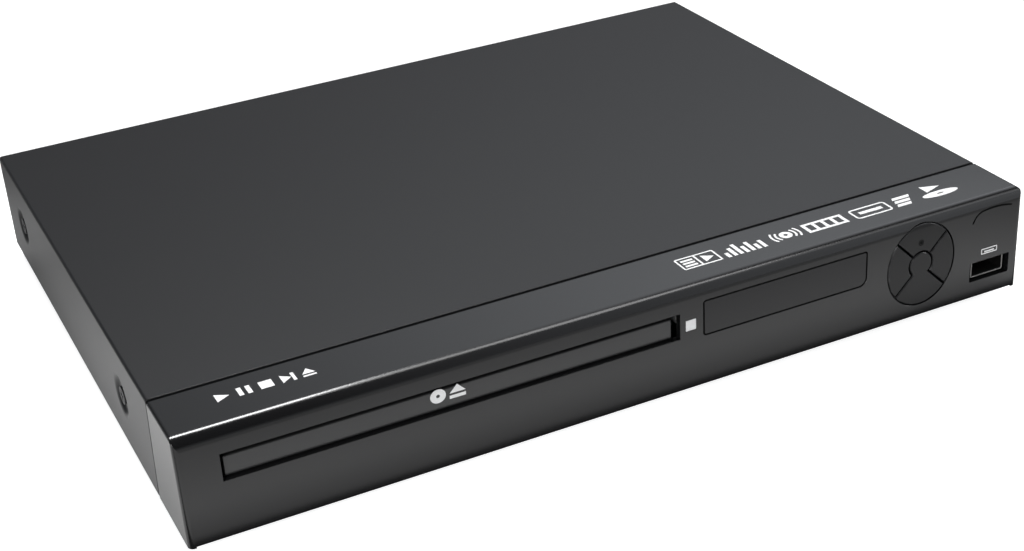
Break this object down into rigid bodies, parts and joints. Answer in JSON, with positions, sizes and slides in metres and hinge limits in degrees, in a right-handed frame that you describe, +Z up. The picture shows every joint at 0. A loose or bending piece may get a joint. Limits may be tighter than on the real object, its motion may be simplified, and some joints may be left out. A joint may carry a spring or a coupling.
{
  "type": "disc player",
  "caption": "Slim tray-loading disc player with a rounded brow, ring of keys, display window, side port, sliding tray and a working drive inside.",
  "frame": {"origin": "under the middle of the player's overall box, on the plane of its four foot soles", "axes": "+X to the player's right as seen from the front, +Y towards its rear, +Z up"},
  "size_m": [0.29, 0.2302, 0.04],
  "materials": {
    "zinc_sheet": "galvanised satin",
    "cover_paint": "fine powder coat",
    "bezel_plastic": "semi-gloss",
    "window_plastic": "dark tinted, polished",
    "lamp_plastic": "milky light rod",
    "key_plastic": "satin",
    "board_laminate": "solder mask",
    "power_laminate": "paper laminate",
    "switch_plastic": "matt moulded",
    "nickel": "nickel plated",
    "tongue_plastic": "moulded",
    "foot_rubber": "moulded",
    "dark_screw_steel": "black oxide",
    "bright_steel": "bright",
    "tray_plastic": "fine grain",
    "door_plastic": "semi-gloss",
    "gear_plastic": "moulded acetal",
    "copper_winding": "varnished",
    "turntable_plastic": "moulded",
    "cast_alloy": "die-cast",
    "lens_glass": "coated",
    "brass": "turned",
    "sink_aluminium": "anodised",
    "insert_plastic": "moulded",
    "ribbon_plastic": "flexible flat cable"
  },
  "bodies": {
    "case": {"base_pan": "zinc_sheet", "top_cover": "cover_paint", "front_bezel": "bezel_plastic", "display_window": "window_plastic", "indicator_lamp": "lamp_plastic", "front_board": "board_laminate", "tact_switches": "switch_plastic", "display_module": "switch_plastic", "remote_receiver": "window_plastic", "port_shell": "nickel", "port_tongue": "tongue_plastic", "foot_front_left": "foot_rubber", "foot_front_right": "foot_rubber", "foot_rear_left": "foot_rubber", "foot_rear_right": "foot_rubber", "cover_screws": "dark_screw_steel", "chassis_screws": "bright_steel", "loader_frame": "tray_plastic", "clamp_bridge": "zinc_sheet", "loading_motor": "bright_steel", "drive_belt": "foot_rubber", "tray_switch": "switch_plastic", "main_board": "board_laminate", "board_parts": "switch_plastic", "heat_sink": "sink_aluminium", "jack_block": "switch_plastic", "jack_barrels": "nickel", "jack_inserts": "insert_plastic", "video_socket": "nickel", "power_board": "power_laminate", "power_parts": "switch_plastic", "mains_inlet": "switch_plastic", "front_ribbon": "ribbon_plastic", "power_harness": "ribbon_plastic"},
    "tray": {"disc_tray": "tray_plastic", "tray_door": "door_plastic"},
    "tray_wheel": {"tray_gear": "gear_plastic"},
    "pulley_wheel": {"pulley_gear": "gear_plastic"},
    "motor_wheel": {"motor_pulley": "gear_plastic"},
    "deck": {"lift_frame": "tray_plastic", "deck_plate": "zinc_sheet", "deck_grommets": "foot_rubber", "deck_screws": "bright_steel", "guide_rods": "bright_steel", "spindle_stator": "copper_winding", "sled_motor": "bright_steel"},
    "cam": {"cam_slide": "gear_plastic"},
    "spindle": {"spindle_rotor": "bright_steel", "turntable": "turntable_plastic", "turntable_pad": "foot_rubber"},
    "clamp": {"clamp_puck": "gear_plastic"},
    "pickup": {"pickup_body": "cast_alloy", "pickup_lens": "lens_glass", "pickup_rack": "gear_plastic"},
    "sled_wheel": {"sled_gear": "gear_plastic"},
    "sled_shaft": {"sled_pinion": "brass"},
    "top_key": {"key_top": "key_plastic"},
    "left_key": {"key_left": "key_plastic"},
    "right_key": {"key_right": "key_plastic"},
    "lower_key": {"key_lower": "key_plastic"}
  },
  "joints": [
    {"name": "tray_slide", "type": "slide", "parent": "case", "child": "tray", "axis": [0, -1, 0], "range_m": [0, 0.128]},
    {"name": "tray_gear_spin", "type": "hinge", "parent": "case", "child": "tray_wheel", "pos_m": [-0.0128, -0.0951, 0.023], "axis": [0, 0, 1], "range_deg": [-920, 5]},
    {"name": "pulley_gear_spin", "type": "hinge", "parent": "case", "child": "pulley_wheel", "pos_m": [-0.0284, -0.0951, 0.021], "axis": [0, 0, 1], "range_deg": [-15, 3065]},
    {"name": "motor_pulley_spin", "type": "hinge", "parent": "case", "child": "motor_wheel", "pos_m": [-0.0538, -0.0831, 0.02], "axis": [0, 0, 1], "range_deg": [-30, 9190]},
    {"name": "deck_tilt", "type": "hinge", "parent": "case", "child": "deck", "pos_m": [-0.0598, 0.0529, 0.0175], "axis": [1, 0, 0], "range_deg": [0, 3.6]},
    {"name": "cam_slide_travel", "type": "slide", "parent": "case", "child": "cam", "axis": [1, 0, 0], "range_m": [0, 0.0181]},
    {"name": "turntable_spin", "type": "hinge", "parent": "deck", "child": "spindle", "pos_m": [-0.0598, -0.0311, 0.025], "axis": [0, 0, 1], "continuous": true},
    {"name": "clamp_spin", "type": "hinge", "parent": "case", "child": "clamp", "pos_m": [-0.0598, -0.0311, 0.033], "axis": [0, 0, 1], "continuous": true},
    {"name": "pickup_slide", "type": "slide", "parent": "deck", "child": "pickup", "axis": [0, 1, 0], "range_m": [0, 0.034]},
    {"name": "sled_gear_spin", "type": "hinge", "parent": "deck", "child": "sled_wheel", "pos_m": [-0.0293, 0.0109, 0.023], "axis": [0, 0, 1], "range_deg": [-565, 5]},
    {"name": "sled_pinion_spin", "type": "hinge", "parent": "deck", "child": "sled_shaft", "pos_m": [-0.0313, 0.02374, 0.02], "axis": [0, 0, 1], "range_deg": [-15, 1870]},
    {"name": "top_key_press", "type": "slide", "parent": "case", "child": "top_key", "axis": [0, 1, 0], "range_m": [0, 0.0007], "stiffness_N_per_m": 400, "springref_m": -0.001},
    {"name": "left_key_press", "type": "slide", "parent": "case", "child": "left_key", "axis": [0, 1, 0], "range_m": [0, 0.0007], "stiffness_N_per_m": 400, "springref_m": -0.001},
    {"name": "right_key_press", "type": "slide", "parent": "case", "child": "right_key", "axis": [0, 1, 0], "range_m": [0, 0.0007], "stiffness_N_per_m": 400, "springref_m": -0.001},
    {"name": "lower_key_press", "type": "slide", "parent": "case", "child": "lower_key", "axis": [0, 1, 0], "range_m": [0, 0.0007], "stiffness_N_per_m": 400, "springref_m": -0.001}
  ],
  "couplings": [
    {"joint": "tray_gear_spin", "follows": "tray_slide", "rad_per_m": -125},
    {"joint": "pulley_gear_spin", "follows": "tray_slide", "rad_per_m": 416.67},
    {"joint": "motor_pulley_spin", "follows": "tray_slide", "rad_per_m": 1250},
    {"joint": "cam_slide_travel", "follows": "deck_tilt", "m_per_rad": 0.28648},
    {"joint": "clamp_spin", "follows": "turntable_spin", "ratio": 1},
    {"joint": "sled_gear_spin", "follows": "pickup_slide", "rad_per_m": -285.71},
    {"joint": "sled_pinion_spin", "follows": "pickup_slide", "rad_per_m": 952.38}
  ]
}
